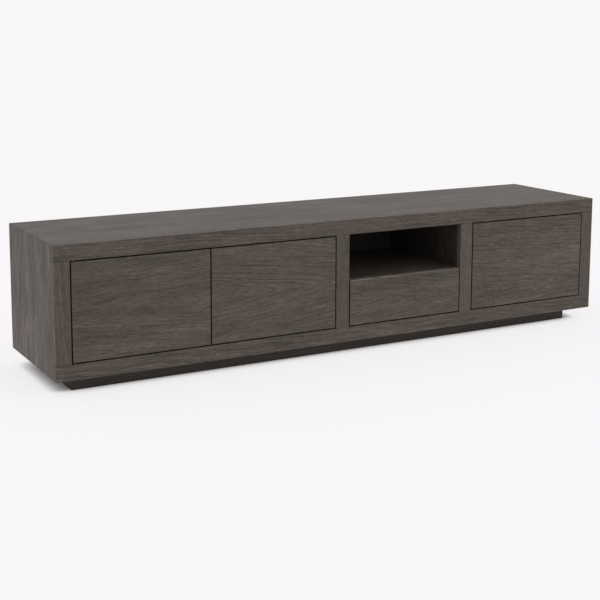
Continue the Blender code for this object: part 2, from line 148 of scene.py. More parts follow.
class ShaderTree:
    """A material's or world's nodes, and the few ways in which nodes are added to them."""

    def __init__(self, tree: bpy.types.NodeTree) -> None:
        """Empties a node tree, to build in it."""
        tree.nodes.clear()
        self.tree = tree

    def add(self, kind: str, settings: dict | None = None, values: dict | None = None,
            output: int | str = 0) -> Socket:
        """Adds a node of any type.

        Args:
            kind: The node's type.
            settings: Properties that are set before its sockets are.
            values: Numbers, colours or links for its inputs, by name or place.
            output: The output that is wanted.

        Returns:
            That output.
        """
        node = self.tree.nodes.new(kind)
        for name, setting in (settings or {}).items():
            setattr(node, name, setting)
        for name, value in (values or {}).items():
            if isinstance(value, Socket):
                self.tree.links.new(value.link, node.inputs[name])
            else:
                node.inputs[name].default_value = value
        return Socket(self, node.outputs[output]) if node.outputs else Socket(self, None)

    def other(self, socket: Socket, output: int | str) -> Socket:
        """Another output of the node that a socket belongs to."""
        return Socket(self, socket.link.node.outputs[output])

    def place(self) -> tuple[Socket, Socket, Socket]:
        """Object coordinates, which are the frame's own metres.

        Returns:
            X, Y and Z.
        """
        where = self.add("ShaderNodeTexCoord", None, None, "Object")
        split = self.add("ShaderNodeSeparateXYZ", None, {0: where})
        return split, self.other(split, 1), self.other(split, 2)

    def vector(self, x: Term, y: Term, z: Term) -> Socket:
        """A vector from three values."""
        return self.add("ShaderNodeCombineXYZ", None, {0: x, 1: y, 2: z})

    def noise(self, x: Term, y: Term, z: Term, detail: float = 1.0, roughness: float = 0.5) -> Socket:
        """Noise from 0 to 1 with features about one unit across, at coordinates already scaled."""
        values = {"Vector": self.vector(x, y, z), "Scale": 1.0, "Detail": detail, "Roughness": roughness}
        return self.add("ShaderNodeTexNoise", {"noise_dimensions": "3D", "normalize": True}, values, "Fac")

    def blend(self, share: Term, first: "Colour | Socket", second: "Colour | Socket") -> Socket:
        """Mixes two colours.

        Args:
            share: How much of the second one there is, from 0 to 1.
            first: The first colour.
            second: The second colour.

        Returns:
            The mixed colour.
        """
        one = first if isinstance(first, Socket) else (*first, 1.0)
        two = second if isinstance(second, Socket) else (*second, 1.0)
        return self.add("ShaderNodeMix", {"data_type": "RGBA", "blend_type": "MIX"},
                        {"Factor": share, 6: one, 7: two}, 2)

    def shade(self, colour: Socket, amount: Socket) -> Socket:
        """Multiplies a colour by a value."""
        grey = self.vector(amount, amount, amount)
        return self.add("ShaderNodeVectorMath", {"operation": "MULTIPLY"}, {0: colour, 1: grey})

    def bump(self, height: Socket, depth: float, strength: float) -> Socket:
        """Turns a height into a normal. The depth is what a height of 1 is, in metres."""
        return self.add("ShaderNodeBump", None, {"Strength": strength, "Distance": depth, "Height": height})

    def surface(self, colour: Socket, roughness: Socket, normal: Socket, constants: dict[str, float]) -> None:
        """Adds the Principled shader and the output. Constants are the same all over the surface."""
        values = {"Base Color": colour, "Roughness": roughness, "Normal": normal, **constants}
        self.finish(self.add("ShaderNodeBsdfPrincipled", None, values))

    def finish(self, shader: Socket, kind: str = "ShaderNodeOutputMaterial") -> None:
        """Links a shader to a new output node."""
        self.add(kind, None, {"Surface": shader})


def new_material(name: str) -> tuple[bpy.types.Material, ShaderTree]:
    """Makes an empty material.

    Args:
        name: The material's name.

    Returns:
        The material and its tree.
    """
    material = bpy.data.materials.new(name)
    material.use_nodes = True
    return material, ShaderTree(material.node_tree)


class Axis(Enum):
    """The frame's axes, by their place in a vector."""

    X = 0
    Y = 1
    Z = 2


class Tone(Enum):
    """How dark a stained board is: darkest line, body colour and palest line, as linear colours."""

    FACE = ((0.0445, 0.0372, 0.0306), (0.0720, 0.0582, 0.0472), (0.1090, 0.0880, 0.0740))
    SHELF = ((0.0410, 0.0343, 0.0282), (0.0665, 0.0537, 0.0436), (0.1000, 0.0810, 0.0680))
    INNER = ((0.0190, 0.0155, 0.0125), (0.0310, 0.0250, 0.0205), (0.0450, 0.0370, 0.0310))
    PLINTH = ((0.0175, 0.0130, 0.0099), (0.0280, 0.0208, 0.0158), (0.0395, 0.0302, 0.0235))
    BACK = ((0.0205, 0.0172, 0.0146), (0.0305, 0.0255, 0.0213), (0.0425, 0.0357, 0.0305))


EARLY_WOOD = ((0.0, 0.14), (0.58, 0.20))
"""Where in a growth ring, from 0 to 1, the early wood begins and ends, each as a smooth step."""
LATE_WOOD = ((0.66, 0.90), (1.0, 0.94))
"""The same for the late wood."""
BODY_LEVEL = 0.56
"""The middle of the scale from a board's darkest line, near 0, to its palest one, near 1."""
DARK_TO_BODY = (-0.05, 0.55)
"""Where on that scale the darkest line blends into the body colour."""
BODY_TO_LIGHT = (0.45, 1.05)
"""Where the body colour blends into the palest line."""
FACING = 0.72
"""A surface looks along an axis where its normal's share of that axis is above this."""


@dataclass(frozen=True)
class OakFinish:
    """Open-grain oak, stained and matt.

    The figure is what a saw shows of a tapered trunk: long lines at the sides, and pointed arches along the
    middle, where the cut passes nearest to the tree's heart. Edges that face a gap between the fronts carry
    painted shade, darker to deepen the gap's shadow: gap_edges gives each one's side of the board, and where
    along the board its gap ends. On a front, gap_ends adds its two ends, and the arris, a strip of its face
    along those edges, carries the painted shade too. A painted gradient of light and shade makes a board
    lighter for each metre along and across it from the heart. Rings, streaks, fibres, pores, flecks and burns
    are counted in a metre across the grain, and coarseness makes the streaks fewer. Past a given place across
    the board, it carries a painted highlight, as if its edge caught the light.
    """

    along: Axis
    across: Axis
    tone: Tone = Tone.FACE
    heart: tuple[float, float] = (0.0, 0.0)
    taper: float = 0.10
    depth: float = 0.02
    rings_per_metre: float = 80.0
    wander: float = 0.008
    figure: float = 1.0
    seed: float = 0.0
    coarseness: float = 1.0
    clouding: float = 0.8
    streaking: float = 2.0
    pale_flecks: float = 0.35
    dark_flecks: float = 0.30
    lightness: float = 1.0
    painted_light_slope: tuple[float, float] = (0.0, 0.0)
    gap_edges: tuple[tuple[float, float], ...] = ()
    gap_ends: bool = False
    gap_shade: float = 0.45
    arris_shade: float = 0.85
    arris: float = 0.0007
    arris_core: float = 0.6
    highlight_start: float | None = None
    highlight_width: float = 0.001
    highlight_gain: float = 1.3
    streaks: float = 340.0
    fibres: float = 430.0
    pores: float = 560.0
    flecks: float = 290.0
    burns: float = 230.0
    relief: float = 0.00022

    def _grain(self, tree: ShaderTree, box: tuple[Vector, Vector]) -> tuple[Socket, Socket, Socket]:
        """Coordinates along the grain and across it from the figure's heart, and through the board.

        Args:
            tree: The material's nodes.
            box: The board's lowest and highest corners.

        Returns:
            The three coordinates, the last one from the middle of the board's thickness.
        """
        axes = tree.place()
        through = next(a.value for a in Axis if a not in (self.along, self.across))
        middle = (box[0][through] + box[1][through]) / 2
        along, across = axes[self.along.value], axes[self.across.value]
        return along - self.heart[0], across - self.heart[1], axes[through] - middle

    def _arrises(self, tree: ShaderTree, box: tuple[Vector, Vector]) -> Socket:
        """1 on the strips of a front's face along the edges that face a gap, where painted shade goes,
        otherwise 0.

        Args:
            tree: The material's nodes.
            box: The front's lowest and highest corners.

        Returns:
            The mask.
        """
        axes = tree.place()
        along, across = self.along.value, self.across.value
        inside = (axes[along] - box[0][along]).least(box[1][along] - axes[along])
        for side, _ in self.gap_edges:
            edge = box[1 if side > 0 else 0][across]
            inside = inside.least((axes[across] - edge).size())
        return inside.ease(self.arris, self.arris * self.arris_core)

    def _rings(self, tree: ShaderTree, u: Socket, v: Socket, w: Socket) -> tuple[Socket, Socket, Socket]:
        """Growth rings: the porous early wood and the dense late wood of each, from 0 to 1.

        Args:
            tree: The material's nodes.
            u: Place along the grain.
            v: Place across the grain.
            w: Place through the board.

        Returns:
            Early wood, late wood, and the distance from the tree's heart, which is the same along a ring.
        """
        sway = tree.noise(u * 3.1 + self.seed, v * 7.0 + self.seed * 1.7, w * 7.0, 2.0) - 0.5
        ripple = tree.noise(u * 15.0 + self.seed, v * 46.0, w * 46.0 + self.seed) - 0.5
        off = v + sway * (self.wander * 3.6) + ripple * (self.wander * 0.20)
        radius = (off * off + w * w * 0.2 + self.depth * self.depth).root() + u * self.taper + sway * 0.012
        uneven = tree.noise(radius * 34.0, self.seed, 0.0, 1.0) - 0.5
        cycle = (radius * self.rings_per_metre + uneven * 2.6 + self.seed).part()
        early = cycle.ease(*EARLY_WOOD[0]) * cycle.ease(*EARLY_WOOD[1])
        late = cycle.ease(*LATE_WOOD[0]) * cycle.ease(*LATE_WOOD[1])
        fade = tree.noise(u * 3.0 - self.seed, v * 16.0, w * 16.0 + self.seed, 2.0).ease(0.30, 0.62) * 1.25
        return early * fade, late * fade, radius

    def material(self, name: str, box: tuple[Vector, Vector]) -> bpy.types.Material:
        """Builds the finish for one board.

        Args:
            name: The material's name.
            box: The board's lowest and highest corners.

        Returns:
            The material.
        """
        made, tree = new_material(name)
        u, v, w = self._grain(tree, box)
        shift = self.seed
        early, late, radius = self._rings(tree, u, v, w)
        broad = tree.noise(u * 4.0 + shift * 2.3, v * 25.0 + shift, w * 25.0, 2.0, 0.55) - 0.5
        streaks = self.streaks / self.coarseness
        streak = tree.noise(u * 12.0 + shift * 3.1, radius * streaks, w * streaks + shift, 2.0, 0.60) - 0.5
        fibre = tree.noise(u * 50.0 + shift, v * self.fibres, w * self.fibres, 2.0, 0.6) - 0.5
        pore = tree.noise(u * 52.0 + shift * 5.3, v * self.pores + shift, w * self.pores)
        pores = pore.ease(0.57, 0.69) * (early * 0.70 + 0.40)
        fleck = tree.noise(u * 42.0 - shift, v * self.flecks + shift * 4.1, w * self.flecks)
        pale = fleck.ease(0.66, 0.76) * self.pale_flecks
        burn = tree.noise(u * 88.0 + shift * 2.9, v * self.burns - shift, w * self.burns)
        burnt = burn.ease(0.73, 0.80) * self.dark_flecks

        level = (BODY_LEVEL - early * (0.26 * self.figure) + late * (0.12 * self.figure)
                 + streak * self.streaking + fibre * 1.8)
        dark, body, light = self.tone.value
        lower = tree.blend(level.ease(*DARK_TO_BODY), dark, body)
        face = tree.blend(level.ease(*BODY_TO_LIGHT), lower, light)
        # Painted light and shade: a gradient along and across the board from its heart, on top of the board's
        # own lightness.
        tone_and_painted_light = u * self.painted_light_slope[0] + v * self.painted_light_slope[1] + self.lightness
        face = tree.shade(face, tone_and_painted_light + broad * self.clouding - pores * 0.40 + pale - burnt)

        turned = tree.add("ShaderNodeTexCoord", None, None, "Normal")
        normals = tree.add("ShaderNodeSeparateXYZ", None, {0: turned})
        end = tree.other(normals, self.along.value).size().over(FACING)
        # Painted shade: faces that look into a gap are darkened, standing in for the gap's shadow.
        for side, reach in self.gap_edges:
            faces_gap = (tree.other(normals, self.across.value) * side).over(FACING)
            edge = faces_gap * (1.0 - u.over(reach - self.heart[0]))
            face = tree.shade(face, 1.0 - edge * self.gap_shade)
        # Painted shade on the arris strips of a front's face along its gapped edges.
        if self.gap_ends:
            face = tree.shade(face, 1.0 - self._arrises(tree, box) * self.arris_shade)
        # Painted highlight: past this place across the board it is painted paler, as if its top edge caught the
        # light.
        if self.highlight_start is not None:
            painted_highlight = (v + self.heart[1]).ease(self.highlight_start, self.highlight_start + self.highlight_width)
            face = tree.shade(face, painted_highlight * self.highlight_gain + 1.0)
        speckle = tree.noise(u * 60.0, v * 420.0, w * 420.0, 2.0) - 0.5
        end_grain = tree.blend((speckle * 0.5 + 0.55 - early * 0.2).ease(0.2, 1.0), dark, body)
        # Painted shade on a front's two ends, which face gaps.
        if self.gap_ends:
            end_grain = tree.shade(end_grain, 1.0 - end * self.gap_shade)
        colour = tree.blend(end, face, end_grain)

        roughness = pores * 0.16 + streak * 0.16 + 0.56
        height = 0.6 - pores * 0.55 - early * 0.12 + fibre * 0.22 + streak * 0.16
        tree.surface(colour, roughness, tree.bump(height, self.relief, 0.55), {"IOR": 1.33})
        return made


@dataclass(frozen=True)
class SteelFinish:
    """Plated, brushed or blackened steel, with its lines along one axis."""

    name: str
    along: Axis
    colour: Colour
    brushed: float = 1.0
    roughness: float = 0.33

    def material(self) -> bpy.types.Material:
        """Builds the finish.

        Returns:
            The material.
        """
        made, tree = new_material(self.name)
        axes = tree.place()
        lines = tree.noise(*[axis * (40.0 if n == self.along.value else 2600.0)
                             for n, axis in enumerate(axes)], 2.0, 0.6) - 0.5
        cloud = tree.noise(*[axis * 90.0 for axis in axes], 3.0, 0.6) - 0.5
        base = tree.blend((cloud + 0.5).ease(0.2, 0.8), self.colour, tuple(c * 0.82 for c in self.colour))
        colour = tree.shade(base, lines * (0.22 * self.brushed) + cloud * 0.20 + 1.0)
        roughness = lines * 0.20 + cloud * 0.16 + self.roughness
        tree.surface(colour, roughness, tree.bump(lines, 0.00004, 0.35 * self.brushed), {"Metallic": 1.0})
        return made


@dataclass(frozen=True)
class PlasticFinish:
    """Moulded plastic with a fine spark-eroded grain."""

    name: str
    colour: Colour
    roughness: float = 0.48

    def material(self) -> bpy.types.Material:
        """Builds the finish.

        Returns:
            The material.
        """
        made, tree = new_material(self.name)
        axes = tree.place()
        grain = tree.noise(*[axis * 2400.0 for axis in axes], 2.0) - 0.5
        cloud = tree.noise(*[axis * 60.0 for axis in axes], 2.0) - 0.5
        base = tree.blend((cloud + 0.5).ease(0.2, 0.8), self.colour, tuple(c * 1.15 for c in self.colour))
        colour = tree.shade(base, grain * 0.20 + 0.97)
        roughness = grain * 0.14 + cloud * 0.10 + self.roughness
        tree.surface(colour, roughness, tree.bump(grain, 0.00005, 0.5), {"IOR": 1.49})
        return made


# Modelling

ALONG = 0.9
"""A model's face looks along an axis, or its edge runs along it, where its share of it is above this."""


def deselect() -> None:
    """Clears the selection."""
    bpy.ops.object.select_all(action="DESELECT")


def activate(piece: bpy.types.Object) -> None:
    """Selects one object alone and makes it active.

    Args:
        piece: The object.
    """
    deselect()
    piece.select_set(True)
    bpy.context.view_layer.objects.active = piece


def choose(piece: bpy.types.Object, kind: str, test: Callable[[object], bool]) -> None:
    """Enters edit mode with the faces or edges that pass a test selected.

    Args:
        piece: The object to edit.
        kind: FACE or EDGE.
        test: Says whether a face or an edge is wanted.
    """
    activate(piece)
    bpy.ops.object.mode_set(mode="EDIT")
    bpy.ops.mesh.select_mode(type=kind)
    bpy.ops.mesh.select_all(action="DESELECT")
    shape = bmesh.from_edit_mesh(piece.data)
    for item in shape.faces if kind == "FACE" else shape.edges:
        item.select_set(bool(test(item)))
    shape.select_flush_mode()
    bmesh.update_edit_mesh(piece.data)


def leave_edit() -> None:
    """Goes back to object mode."""
    bpy.ops.object.mode_set(mode="OBJECT")


def settle(piece: bpy.types.Object) -> None:
    """Puts an object's place, turn and scale into its mesh.

    Args:
        piece: The object.
    """
    activate(piece)
    bpy.ops.object.transform_apply(location=True, rotation=True, scale=True)


def disc(name: str, radius: float, height: float, sides: int) -> bpy.types.Object:
    """Adds a short cylinder, standing on the origin along +Z.

    Args:
        name: The object's name.
        radius: Its radius.
        height: Its height.
        sides: The number of its sides.

    Returns:
        The object.
    """
    deselect()
    bpy.ops.mesh.primitive_cylinder_add(vertices=sides, radius=radius, depth=height,
                                        location=(0.0, 0.0, height / 2))
    made = bpy.context.object
    made.name = name
    settle(made)
    return made


def block(name: str, low: Sequence[float], high: Sequence[float]) -> bpy.types.Object:
    """Adds a box between two corners.

    Args:
        name: The object's name.
        low: Its lowest corner.
        high: Its highest corner.

    Returns:
        The object.
    """
    deselect()
    bpy.ops.mesh.primitive_cube_add(size=1.0, location=[(a + b) / 2 for a, b in zip(low, high)],
                                    scale=[b - a for a, b in zip(low, high)])
    made = bpy.context.object
    made.name = name
    settle(made)
    return made


def step_face(inset: float, rise: float) -> None:
    """Insets the selected face and lifts what is left of it.

    Args:
        inset: How far in from its rim.
        rise: How far up, or down where it is below 0.
    """
    bpy.ops.mesh.inset(thickness=inset, depth=0.0)
    bpy.ops.transform.translate(value=(0.0, 0.0, rise))


def round_off(piece: bpy.types.Object, material: bpy.types.Material, degrees: float) -> None:
    """Dresses a model and shades it smooth, with its sharper edges kept.

    Args:
        piece: The model.
        material: Its finish.
        degrees: How sharp an edge has to be to stay sharp.
    """
    piece.data.materials.clear()
    piece.data.materials.append(material)
    activate(piece)
    bpy.ops.object.shade_smooth_by_angle(angle=math.radians(degrees))


def facing(point: Sequence[float], direction: Sequence[float]) -> Matrix:
    """A place at a point, with the model's +Z turned to a direction.

    Args:
        point: Where the model's origin goes.
        direction: Where its +Z points.

    Returns:
        The matrix.
    """
    turn = Vector((0.0, 0.0, 1.0)).rotation_difference(Vector(direction)).to_matrix().to_4x4()
    return Matrix.Translation(Vector(point)) @ turn


@dataclass(frozen=True)
class Spot:
    """Where a copy of a small fitting goes."""

    name: str
    point: Point
    direction: Point
    body: str = "carcass"


def spread(model: bpy.types.Object, spots: Iterable[Spot], slot: str) -> None:
    """Copies a model to its spots, each copy with a mesh of its own, and removes the model.

    Args:
        model: The finished model, at the origin along +Z.
        spots: Where the copies go.
        slot: The record's material slot that they belong to. It is not used.
    """
    for spot in spots:
        made = model.copy()
        made.data = model.data.copy()
        made.name = spot.name
        bpy.context.scene.collection.objects.link(made)
        made.data.transform(facing(spot.point, spot.direction))
        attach(made, spot.body)
        log.info("%s on %s", spot.name, spot.body)
    bpy.data.objects.remove(model, do_unlink=True)


def dress(names: Iterable[str], material: bpy.types.Material) -> None:
    """Gives frame nodes a material.

    Args:
        names: The nodes' names.
        material: The finish.
    """
    for name in names:
        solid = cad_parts[name]
        solid.data.materials.clear()
        solid.data.materials.append(material)
        log.info("%s dressed in %s", name, material.name)


# Sub-assemblies

WHOLE_LENGTH = 9.0
"""Where an edge's gap ends if it runs along the whole board: further than any board reaches."""
LOW_EDGE = ((-1.0, WHOLE_LENGTH),)
"""A gap along the edge on the board's low side."""
HIGH_EDGE = ((1.0, WHOLE_LENGTH),)
BOTH_EDGES = LOW_EDGE + HIGH_EDGE
DRAWER_TOP = 0.246
"""Where the gaps beside the drawer's front end, in metres above the floor."""


def stile(heart: float, seed: float, gap_edges: tuple[tuple[float, float], ...],
          lightness: float = 1.0) -> OakFinish:
    """Makes the finish of an upright of the face frame.

    Args:
        heart: The figure's heart along the cabinet.
        seed: Shifts its grain.
        gap_edges: Its edges that face a gap.
        lightness: How light its board is beside the others.

    Returns:
        The finish.
    """
    return OakFinish(Axis.Z, Axis.X, heart=(0.2, heart), taper=0.04, depth=0.05, seed=seed, clouding=0.6,
                     figure=0.45, streaking=0.6, lightness=lightness, gap_edges=gap_edges)


@dataclass
class Boards:
    """The oak boards of the carcass, the face frame, the fronts and the drawer, each with its own figure."""

    faces: dict[str, OakFinish] = field(default_factory=lambda: {
        "top_panel": OakFinish(Axis.X, Axis.Y, heart=(0.35, 0.02), taper=0.045, depth=0.03, seed=3.1,
                               coarseness=3.2, clouding=1.3, streaking=2.3, lightness=1.06),
        "bottom_panel": OakFinish(Axis.X, Axis.Y, heart=(-0.3, -0.05), taper=0.05, seed=8.4),
        "left_side_panel": OakFinish(Axis.Z, Axis.Y, heart=(0.1, 0.05), taper=0.05, depth=0.03, seed=5.7,
                                     coarseness=2.0, clouding=1.9, streaking=3.2, lightness=1.07,
                                     painted_light_slope=(-0.45, 0.30)),
        "right_side_panel": OakFinish(Axis.Z, Axis.Y, heart=(0.3, -0.02), taper=0.05, seed=6.9,
                                      coarseness=1.8, clouding=1.2, streaking=2.4),
        "top_rail": OakFinish(Axis.X, Axis.Z, heart=(-0.9, 0.30), taper=0.03, depth=0.06, seed=1.3,
                              figure=0.85, streaking=1.6, lightness=0.95, painted_light_slope=(0.035, 0.0),
                              gap_edges=LOW_EDGE),
        "bottom_rail": OakFinish(Axis.X, Axis.Z, heart=(0.4, 0.02), taper=0.03, depth=0.05, seed=2.2,
                                 figure=0.85, streaking=1.6, gap_edges=HIGH_EDGE),
        "left_stile": stile(-1.06, 4.5, HIGH_EDGE),
        "left_divider_stile": stile(-0.12, 9.1, ((1.0, DRAWER_TOP), *LOW_EDGE)),
        "right_divider_stile": stile(0.37, 7.7, ((-1.0, DRAWER_TOP), *HIGH_EDGE), 1.08),
        "right_stile": stile(1.06, 0.6, LOW_EDGE),
        "left_door": OakFinish(Axis.X, Axis.Z, heart=(-0.58, 0.222), taper=-0.07, depth=0.004, seed=11.2,
                               wander=0.007, figure=0.5, streaking=1.5, clouding=1.0, pale_flecks=0.2,
                               dark_flecks=0.9, painted_light_slope=(0.0, -0.30), gap_edges=BOTH_EDGES, gap_ends=True),
        "middle_door": OakFinish(Axis.X, Axis.Z, heart=(-0.16, 0.252), taper=0.12, depth=0.004, seed=12.9,
                                 wander=0.007, figure=0.6, clouding=0.5, lightness=1.03,
                                 painted_light_slope=(0.20, 0.0), gap_edges=BOTH_EDGES, gap_ends=True),
        "right_door": OakFinish(Axis.X, Axis.Z, heart=(0.60, 0.170), taper=0.08, depth=0.003, seed=13.4,
                                wander=0.006, figure=0.7, streaking=1.9, clouding=1.0, pale_flecks=1.1,
                                lightness=1.02, painted_light_slope=(0.25, 0.0), gap_edges=BOTH_EDGES, gap_ends=True),
        "drawer_front": OakFinish(Axis.X, Axis.Z, heart=(0.20, 0.172), depth=0.004, seed=14.8, figure=0.6,
                                  streaking=1.9, pale_flecks=0.7, gap_edges=LOW_EDGE, gap_ends=True,
                                  highlight_start=0.2455),
    })
    inside: dict[str, OakFinish] = field(default_factory=lambda: {
        "left_divider_panel": OakFinish(Axis.Z, Axis.Y, Tone.INNER, (0.2, 0.1), 0.06, seed=21.0),
        "right_divider_panel": OakFinish(Axis.Z, Axis.Y, Tone.INNER, (0.2, -0.1), 0.06, seed=22.0),
        "niche_shelf": OakFinish(Axis.X, Axis.Y, Tone.SHELF, (0.2, 0.0), 0.08, seed=23.0),
        "left_shelf": OakFinish(Axis.X, Axis.Y, Tone.INNER, (-0.5, 0.0), 0.06, seed=24.0),
        "right_shelf": OakFinish(Axis.X, Axis.Y, Tone.INNER, (0.7, 0.05), 0.06, seed=25.0),
        "drawer_box_front": OakFinish(Axis.X, Axis.Z, Tone.INNER, (0.2, 0.16), 0.06, seed=26.0),
        "drawer_left_side": OakFinish(Axis.Y, Axis.Z, Tone.INNER, (0.0, 0.15), 0.06, seed=27.0),
        "drawer_right_side": OakFinish(Axis.Y, Axis.Z, Tone.INNER, (0.0, 0.15), 0.06, seed=28.0),
        "drawer_back": OakFinish(Axis.X, Axis.Z, Tone.INNER, (0.2, 0.15), 0.06, seed=29.0),
        "drawer_bottom": OakFinish(Axis.X, Axis.Y, Tone.INNER, (0.2, 0.0), 0.06, seed=30.0),
        "left_back_panel": OakFinish(Axis.X, Axis.Z, Tone.BACK, (-0.5, 0.2), 0.03, seed=31.0, figure=0.5),
        "middle_back_panel": OakFinish(Axis.X, Axis.Z, Tone.BACK, (0.2, 0.3), 0.03, seed=32.0, figure=0.5),
        "right_back_panel": OakFinish(Axis.X, Axis.Z, Tone.BACK, (0.7, 0.2), 0.03, seed=33.0, figure=0.5),
        "plinth_front": OakFinish(Axis.X, Axis.Z, Tone.PLINTH, (0.0, 0.1), 0.03, seed=34.0),
        "plinth_back": OakFinish(Axis.X, Axis.Z, Tone.PLINTH, (0.4, 0.1), 0.03, seed=35.0),
        "plinth_left": OakFinish(Axis.Y, Axis.Z, Tone.PLINTH, (0.0, 0.1), 0.03, seed=36.0),
        "plinth_right": OakFinish(Axis.Y, Axis.Z, Tone.PLINTH, (0.1, 0.1), 0.03, seed=37.0),
        "plinth_brace": OakFinish(Axis.Y, Axis.Z, Tone.PLINTH, (0.2, 0.1), 0.03, seed=38.0),
    })

    def build(self) -> None:
        """Gives every board its finish."""
        for name, finish in (self.faces | self.inside).items():
            dress([name], finish.material(f"{name}_oak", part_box(name)))


@dataclass
class TurnedFitting(ABC):
    """A small round fitting, modelled at the origin from a disc, whose upper face is worked along +Z."""

    radius: float
    base: float
    sides: int = 16
    sharp_angle: float = 20.0

    @abstractmethod
    def work(self) -> None:
        """Works the selected upper face, in edit mode."""

    def cut(self, made: bpy.types.Object) -> None:
        """Cuts into the worked disc, in object mode. Most fittings need none of it."""

    def model(self, name: str, material: bpy.types.Material) -> bpy.types.Object:
        """Models one fitting.

        Args:
            name: The model's name.
            material: Its finish.

        Returns:
            The model.
        """
        made = disc(name, self.radius, self.base, self.sides)
        choose(made, "FACE", lambda face: face.normal.z > ALONG)
        self.work()
        leave_edit()
        self.cut(made)
        round_off(made, material, self.sharp_angle)
        return made


@dataclass
class Screw(TurnedFitting):
    """A driven screw as it shows: a low bevelled head with a cross recess."""

    radius: float = 0.0034
    base: float = 0.00049
    sharp_angle: float = 35.0
    slope: float = 0.000748
    crown: float = 0.00021
    recess_reach: float = 0.00187
    recess_width: float = 0.0009
    recess_floor: float = 0.000245
    cutter_top: float = 0.01

    def work(self) -> None:
        """Bevels the head."""
        step_face(self.slope, self.crown)

    def cut(self, made: bpy.types.Object) -> None:
        """Cuts the cross recess.

        Args:
            made: The head.
        """
        reach, half = self.recess_reach, self.recess_width / 2
        for x, y in ((reach, half), (half, reach)):
            cutter = block("recess", (-x, -y, self.recess_floor), (x, y, self.cutter_top))
            activate(made)
            step = made.modifiers.new("recess", "BOOLEAN")
            step.operation = "DIFFERENCE"
            step.solver = "EXACT"
            step.object = cutter
            bpy.ops.object.modifier_apply(modifier=step.name)
            bpy.data.objects.remove(cutter, do_unlink=True)


@dataclass
class ShelfPin(TurnedFitting):
    """A steel shelf pin: a collar against the board, and a stub that the shelf lies on."""

    radius: float = 0.0026
    base: float = 0.0012
    sharp_angle: float = 35.0
    stub_radius: float = 0.0022
    stub_length: float = 0.0090
    chamfer: float = 0.0006

    def work(self) -> None:
        """Draws the stub out of the collar and bevels its end."""
        bpy.ops.mesh.inset(thickness=self.radius - self.stub_radius, depth=0.0)
        bpy.ops.mesh.extrude_region_move(TRANSFORM_OT_translate={"value": (0.0, 0.0, self.stub_length)})
        step_face(self.chamfer, self.chamfer)


@dataclass
class Sleeve(TurnedFitting):
    """A turned sleeve that lines a shelf-pin hole, with its rim just proud of the board."""

    radius: float = 0.0040
    base: float = 0.0002
    bore: float = 0.0026
    bore_slope: float = 0.0002
    bore_depth: float = 0.00015

    def work(self) -> None:
        """Sinks the bore from the rim."""
        bpy.ops.mesh.inset(thickness=self.radius - self.bore, depth=0.0)
        step_face(self.bore_slope, -self.bore_depth)


@dataclass
class StrikeButton(TurnedFitting):
    """A thin dished steel button that a press latch's plunger meets."""

    radius: float = 0.0065
    base: float = 0.000084
    sides: int = 24
    slope: float = 0.00078
    crown: float = 0.000056
    dish: float = 0.00195
    dish_depth: float = 0.000042

    def work(self) -> None:
        """Bevels the button and dishes its middle."""
        step_face(self.slope, self.crown)
        step_face(self.dish, -self.dish_depth)


